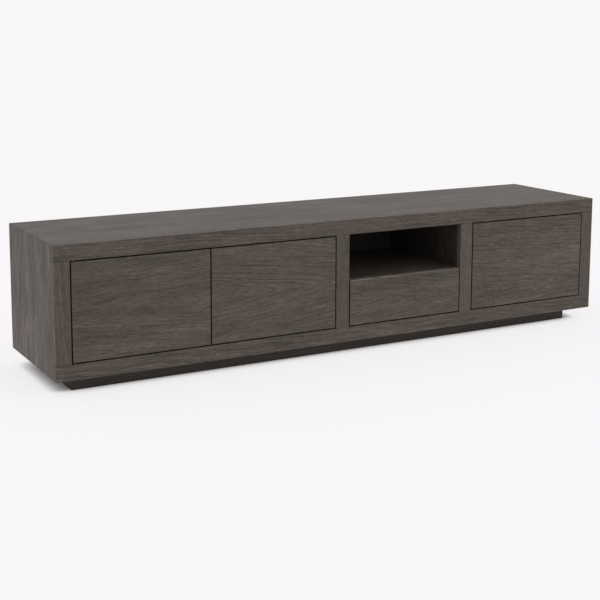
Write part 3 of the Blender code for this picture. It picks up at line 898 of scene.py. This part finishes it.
@dataclass
class Fittings:
    """Hinges, latches and runners of the frame, and the small fittings round them."""

    doors: tuple[str, ...] = ("left_door", "middle_door", "right_door")
    hinge_screws: tuple[float, float] = (0.007, 0.024)
    latch_screws: tuple[float, float] = (0.014, 0.008)
    back_screws: tuple[tuple[str, int], ...] = (
        ("left_back_panel", 4), ("middle_back_panel", 3), ("right_back_panel", 3))
    back_row_inset: float = 0.006
    back_end_inset: float = 0.05
    back_side_inset: float = 0.010
    drawer_screw_inset: float = 0.060
    drawer_screw_rows: tuple[float, float] = (0.032, 0.022)
    runner_web: float = 0.0012
    runner_screws: tuple[float, float, float] = (0.08, 0.5, 0.92)
    pin_inset: float = 0.045
    sleeve_pitch: float = 0.032
    sleeve_rows: int = 2
    sleeve_clearance: float = 0.004
    shelf_gap: float = 0.0003
    pin_gap: float = 0.0002
    sunk: float = 0.0001
    screw: Screw = field(default_factory=Screw)
    pin: ShelfPin = field(default_factory=ShelfPin)
    sleeve: Sleeve = field(default_factory=Sleeve)
    button: StrikeButton = field(default_factory=StrikeButton)

    def dress_solids(self) -> None:
        """Gives the frame's metal and plastic nodes their finishes."""
        hinge = SteelFinish("hinge_black_steel", Axis.X, (0.060, 0.060, 0.062), 0.6, 0.42)
        runner = SteelFinish("runner_zinc", Axis.Y, (0.56, 0.57, 0.58), 0.6)
        housing = PlasticFinish("latch_grey_plastic", (0.045, 0.045, 0.047))
        tip = PlasticFinish("plunger_pale_plastic", (0.30, 0.30, 0.30), 0.40)
        for ends, finish in ((("_leaf", "_plate"), hinge), (("_outer", "_middle", "_inner"), runner),
                             ("_housing", housing), ("_plunger", tip)):
            dress([name for name in sorted(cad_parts) if name.endswith(ends)], finish.material())

    def hinge_spots(self) -> Iterable[Spot]:
        """Two screws in each hinge leaf and each hinge plate, clear of the pivot.

        Returns:
            Their spots.
        """
        for door in self.doors:
            for end, up in (("top", 1.0), ("bottom", -1.0)):
                low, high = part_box(f"{door}_{end}_plate")
                y = (low.y + high.y) / 2
                free, back = (high.x, -1.0) if door == "left_door" else (low.x, 1.0)
                frame_face = low.z if up > 0 else high.z
                door_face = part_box(door)[1 if up > 0 else 0].z
                sides = (("leaf", door, up, door_face), ("plate", "carcass", -up, frame_face))
                for part, body, out, face in sides:
                    for n, reach in enumerate(self.hinge_screws, start=1):
                        point = (free + back * reach, y, face - out * self.sunk)
                        yield Spot(f"{door}_{end}_{part}_screw_{n}", point, (0.0, 0.0, out), body)

    def latch_spots(self) -> Iterable[Spot]:
        """Two screws under each latch housing, or on top of the drawer's.

        Returns:
            Their spots.
        """
        for label in (*self.doors, "drawer"):
            low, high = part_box(f"{label}_latch_housing")
            up = 1.0 if label == "drawer" else -1.0
            front, back = self.latch_screws
            for n, y in enumerate((low.y + front, high.y - back), start=1):
                z = (high.z if up > 0 else low.z) - up * self.sunk
                yield Spot(f"{label}_latch_screw_{n}", ((low.x + high.x) / 2, y, z), (0.0, 0.0, up))

    def back_spots(self) -> Iterable[Spot]:
        """Screws round the edges of the back panels, seen from behind.

        Returns:
            Their spots.
        """
        wall = (0.0, 1.0, 0.0)
        for panel, across in self.back_screws:
            low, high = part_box(panel)
            y = high.y - self.sunk
            first, last = low.x + self.back_end_inset, high.x - self.back_end_inset
            for row, z in (("low", low.z + self.back_row_inset), ("high", high.z - self.back_row_inset)):
                for n in range(across):
                    x = first + (last - first) * n / (across - 1)
                    yield Spot(f"{panel}_screw_{row}_{n + 1}", (x, y, z), wall)
            for side, x in (("left", low.x + self.back_side_inset), ("right", high.x - self.back_side_inset)):
                yield Spot(f"{panel}_screw_{side}", (x, y, (low.z + high.z) / 2), wall)

    def drawer_spots(self) -> Iterable[Spot]:
        """Screws that hold the drawer's front, and the runners to its sides.

        Returns:
            Their spots.
        """
        low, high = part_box("drawer_box_front")
        below, above = self.drawer_screw_rows
        y = high.y - self.sunk
        for side, x in (("left", low.x + self.drawer_screw_inset), ("right", high.x - self.drawer_screw_inset)):
            for row, z in (("low", low.z + below), ("high", high.z - above)):
                yield Spot(f"drawer_front_screw_{side}_{row}", (x, y, z), (0.0, 1.0, 0.0), "drawer")
        for side, out in (("left", -1.0), ("right", 1.0)):
            node = f"{side}_runner_inner"
            low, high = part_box(node)
            web = (high.x - self.runner_web if out < 0 else low.x + self.runner_web) - out * self.sunk
            for n, share in enumerate(self.runner_screws, start=1):
                y = low.y + (high.y - low.y) * share
                yield Spot(f"{node}_screw_{n}", (web, y, (low.z + high.z) / 2), (out, 0.0, 0.0), "drawer")

    def strike_spots(self) -> Iterable[Spot]:
        """A button on each front's back, opposite the latch's plunger.

        Returns:
            Their spots.
        """
        for label in (*self.doors, "drawer"):
            low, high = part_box(f"{label}_latch_plunger")
            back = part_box("drawer_back" if label == "drawer" else label)[1].y
            point = ((low.x + high.x) / 2, back, (low.z + high.z) / 2)
            yield Spot(f"{label}_strike_button", point, (0.0, 1.0, 0.0), label)

    def shelf_spots(self) -> tuple[list[Spot], list[Spot]]:
        """Four pins under each shelf, and the columns of sleeves above and below them.

        Returns:
            The pins and the sleeves.
        """
        pins, sleeves = [], []
        for shelf in ("left_shelf", "right_shelf"):
            low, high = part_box(shelf)
            rest = low.z - self.pin_gap - self.pin.stub_radius
            floor, roof = low.z - self.sleeve_clearance, high.z + self.sleeve_clearance
            walls = (("left", low.x - self.shelf_gap, 1.0), ("right", high.x + self.shelf_gap, -1.0))
            for side, x, out in walls:
                inwards = (out, 0.0, 0.0)
                for end, y in (("front", low.y + self.pin_inset), ("back", high.y - self.pin_inset)):
                    pins.append(Spot(f"{shelf}_pin_{side}_{end}", (x - out * self.sunk, y, rest), inwards))
                    for step in range(-self.sleeve_rows, self.sleeve_rows + 2):
                        z = rest + step * self.sleeve_pitch
                        if step != 0 and not floor < z < roof:
                            name = f"{shelf}_sleeve_{side}_{end}_{step + self.sleeve_rows}"
                            sleeves.append(Spot(name, (x, y, z), inwards))
        return pins, sleeves

    def build(self) -> None:
        """Dresses the frame's fittings and adds the small ones."""
        self.dress_solids()
        black = SteelFinish("screw_black_steel", Axis.X, (0.075, 0.075, 0.078), 0.2, 0.40).material()
        zinc = SteelFinish("screw_zinc", Axis.X, (0.55, 0.55, 0.54), 0.2, 0.36).material()
        nickel = SteelFinish("pin_nickel", Axis.X, (0.60, 0.58, 0.54), 0.2, 0.28).material()
        pins, sleeves = self.shelf_spots()
        for fitting, name, steel, spots, slot in (
                (self.screw, "hinge_screw", black, self.hinge_spots(), "hinge_steel"),
                (self.screw, "latch_screw", black, self.latch_spots(), "hinge_steel"),
                (self.screw, "back_screw", zinc, self.back_spots(), "runner_steel"),
                (self.screw, "drawer_screw", zinc, self.drawer_spots(), "runner_steel"),
                (self.button, "strike_button", nickel, self.strike_spots(), "runner_steel"),
                (self.pin, "shelf_pin", nickel, pins, "runner_steel"),
                (self.sleeve, "pin_sleeve", nickel, sleeves, "runner_steel")):
            spread(fitting.model(name, steel), spots, slot)


@dataclass
class CableCollar:
    """Moulded collar round the cable slot in the back of the niche, with a flange on each side."""

    slot_size: tuple[float, float] = (0.120, 0.040)
    slot_centre: tuple[float, float] = (0.088, 0.290)
    corner: float = 0.012
    flange: float = 0.005
    proud: float = 0.0011
    corner_steps: int = 6
    rim_share: float = 0.45
    rim_angle: float = 1.2

    def ring(self, name: str, y: float, outward: float) -> bpy.types.Object:
        """Models one flange: a rounded plate, with its middle bridged open and its rim bevelled.

        Args:
            name: The flange's name.
            y: The board's face that it lies on.
            outward: 1 to stand proud towards the wall, -1 towards the niche.

        Returns:
            The flange.
        """
        half_x = self.slot_size[0] / 2 + self.flange
        half_z = self.slot_size[1] / 2 + self.flange
        x, z = self.slot_centre
        near, far = sorted((y, y + outward * self.proud))
        made = block(name, (x - half_x, near, z - half_z), (x + half_x, far, z + half_z))
        choose(made, "EDGE", lambda e: abs((e.verts[0].co - e.verts[1].co).normalized().y) > ALONG)
        bpy.ops.mesh.bevel(offset=self.corner + self.flange, segments=self.corner_steps, profile=0.5)
        leave_edit()
        choose(made, "FACE", lambda f: abs(f.normal.y) > ALONG)
        bpy.ops.mesh.inset(thickness=self.flange, depth=0.0)
        bpy.ops.mesh.bridge_edge_loops()
        leave_edit()
        middle = y + outward * self.proud * 0.5
        choose(made, "EDGE", lambda e: len(e.link_faces) == 2 and e.calc_face_angle(0.0) > self.rim_angle
               and all((v.co.y - middle) * outward > 0.0 for v in e.verts))
        bpy.ops.mesh.bevel(offset=self.proud * self.rim_share, segments=2, profile=0.5)
        leave_edit()
        return made

    def build(self) -> None:
        """Adds the two flanges."""
        plastic = PlasticFinish("collar_black_plastic", (0.020, 0.019, 0.018), 0.42).material()
        low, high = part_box("middle_back_panel")
        for name, y, outward in (("cable_collar_inside", low.y, -1.0), ("cable_collar_outside", high.y, 1.0)):
            made = self.ring(name, y, outward)
            round_off(made, plastic, 30.0)
            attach(made, "carcass")
            log.info("%s on carcass", name)


@dataclass(frozen=True)
class Lamp:
    """A rectangular soft lamp."""

    name: str
    place: Point
    aim: Point
    size: tuple[float, float]
    power: float

    def build(self) -> None:
        """Adds the lamp."""
        data = bpy.data.lights.new(self.name, "AREA")
        data.shape = "RECTANGLE"
        data.size, data.size_y = self.size
        data.energy = self.power
        lamp = bpy.data.objects.new(self.name, data)
        lamp.location = self.place
        lamp.rotation_euler = (Vector(self.aim) - Vector(self.place)).to_track_quat("-Z", "Y").to_euler()
        bpy.context.scene.collection.objects.link(lamp)


@dataclass
class Studio:
    """Pale floor, even studio light and the photograph's camera.

    The floor is a little overexposed, as in the photograph: it glows with the backdrop's colour wherever
    most of the sky above it is open, and gives way to a painted shadow close to the object and under it,
    weaker in front, where a painted pool of light lifts it.
    """

    backdrop: Colour = (0.945, 0.928, 0.936)
    floor_colour: Colour = (0.20, 0.197, 0.198)
    floor_lift: float = 0.815
    floor_size: float = 40.0
    open_sky: tuple[float, float] = (0.02, 0.56)
    sky_samples: int = 8
    shadow_reach: float = 1.5
    painted_front_light: float = 0.31
    painted_front_light_edge: tuple[float, float] = (-0.13, -0.19)
    fade: tuple[float, float] = (1.6, 3.2)
    ambient: float = 0.86
    lamps: tuple[Lamp, ...] = (
        Lamp("left_lamp", (-3.6, -1.2, 1.7), (0.0, 0.0, 0.2), (2.8, 2.2), 9.0),
        Lamp("right_lamp", (3.2, -2.6, 2.0), (0.3, 0.0, 0.2), (2.8, 2.2), 16.0),
    )
    camera_place: Point = (-2.0422, -3.5251, 1.0832)
    camera_turn: Point = (81.5886, -0.2209, -29.0395)
    lens: float = 73.617
    sensor_width: float = 36.0
    shift_y: float = -0.16667
    view_reach: float = 100.0

    def seen(self, tree: ShaderTree) -> Socket:
        """1 for rays from the camera, from gloss and through glass, otherwise 0."""
        rays = tree.add("ShaderNodeLightPath", None, None, "Is Camera Ray")
        return rays.most(tree.other(rays, "Is Glossy Ray")).most(tree.other(rays, "Is Transmission Ray"))

    def floor(self) -> None:
        """Adds the floor: near the object it shows a shadow, mostly painted from an occlusion node and partly
        real, and far away it takes the backdrop's colour.
        """
        deselect()
        bpy.ops.mesh.primitive_plane_add(size=self.floor_size, location=(0.0, 0.0, 0.0))
        plane = bpy.context.object
        plane.name = "studio_floor"
        made, tree = new_material("studio_floor_paint")
        x, y, _ = tree.place()
        away = (x * x + y * y).root().ease(*self.fade)
        paint = tree.add("ShaderNodeBsdfDiffuse", None, {"Color": (*self.floor_colour, 1.0)})
        # Painted shadow: the glow fades where the occlusion node finds little open sky, and a painted pool of
        # light in front of the object weakens that shadow.
        sky = tree.add("ShaderNodeAmbientOcclusion", {"samples": self.sky_samples},
                       {"Distance": self.shadow_reach}, "AO")
        sky = sky + y.ease(*self.painted_front_light_edge) * self.painted_front_light
        backdrop = (*self.backdrop, 1.0)
        glow = tree.add("ShaderNodeEmission", None, {"Color": backdrop, "Strength": self.floor_lift})
        lit = tree.add("ShaderNodeAddShader", None, {0: paint, 1: glow})
        near = tree.add("ShaderNodeMixShader", None, {0: sky.ease(*self.open_sky), 1: paint, 2: lit})
        far = tree.add("ShaderNodeEmission", None, {"Color": backdrop, "Strength": 1.0})
        tree.finish(tree.add("ShaderNodeMixShader", None, {0: away * self.seen(tree), 1: near, 2: far}))
        plane.data.materials.append(made)
        plane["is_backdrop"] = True

    def world(self) -> None:
        """Lights the object evenly, and shows the backdrop's colour behind it."""
        world = bpy.data.worlds.new("studio_world")
        bpy.context.scene.world = world
        world.use_nodes = True
        tree = ShaderTree(world.node_tree)
        ambient = tree.add("ShaderNodeBackground", None, {"Color": (1.0,) * 4, "Strength": self.ambient})
        shown = tree.add("ShaderNodeBackground", None, {"Color": (*self.backdrop, 1.0), "Strength": 1.0})
        mix = tree.add("ShaderNodeMixShader", None, {0: self.seen(tree), 1: ambient, 2: shown})
        tree.finish(mix, "ShaderNodeOutputWorld")

    def camera(self) -> None:
        """Sets the camera where the photograph was taken from."""
        data = bpy.data.cameras.new("photo_camera")
        data.sensor_width = self.sensor_width
        data.lens = self.lens
        data.shift_y = self.shift_y
        data.clip_end = self.view_reach
        camera = bpy.data.objects.new("photo_camera", data)
        camera.location = self.camera_place
        camera.rotation_euler = [math.radians(angle) for angle in self.camera_turn]
        bpy.context.scene.collection.objects.link(camera)
        bpy.context.scene.camera = camera

    def build(self) -> None:
        """Builds the studio."""
        self.floor()
        self.world()
        for lamp in self.lamps:
            lamp.build()
        self.camera()
        bpy.context.scene.view_settings.view_transform = "Standard"
        log.info("studio with %d lamps", len(self.lamps))


def write_sizes() -> None:
    """Works out the CAD box and the visual model's box, and keeps neither."""
    boxes = {"cad": CAD_BOUNDS, "visual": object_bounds()}
    {name: [list(low), list(high)] for name, (low, high) in boxes.items()}


def main() -> None:
    """Builds every sub-assembly in order."""
    logging.basicConfig(level=logging.INFO, format="%(message)s")
    Boards().build()
    Fittings().build()
    CableCollar().build()
    Studio().build()
    write_sizes()


if __name__ == "__main__":
    main()
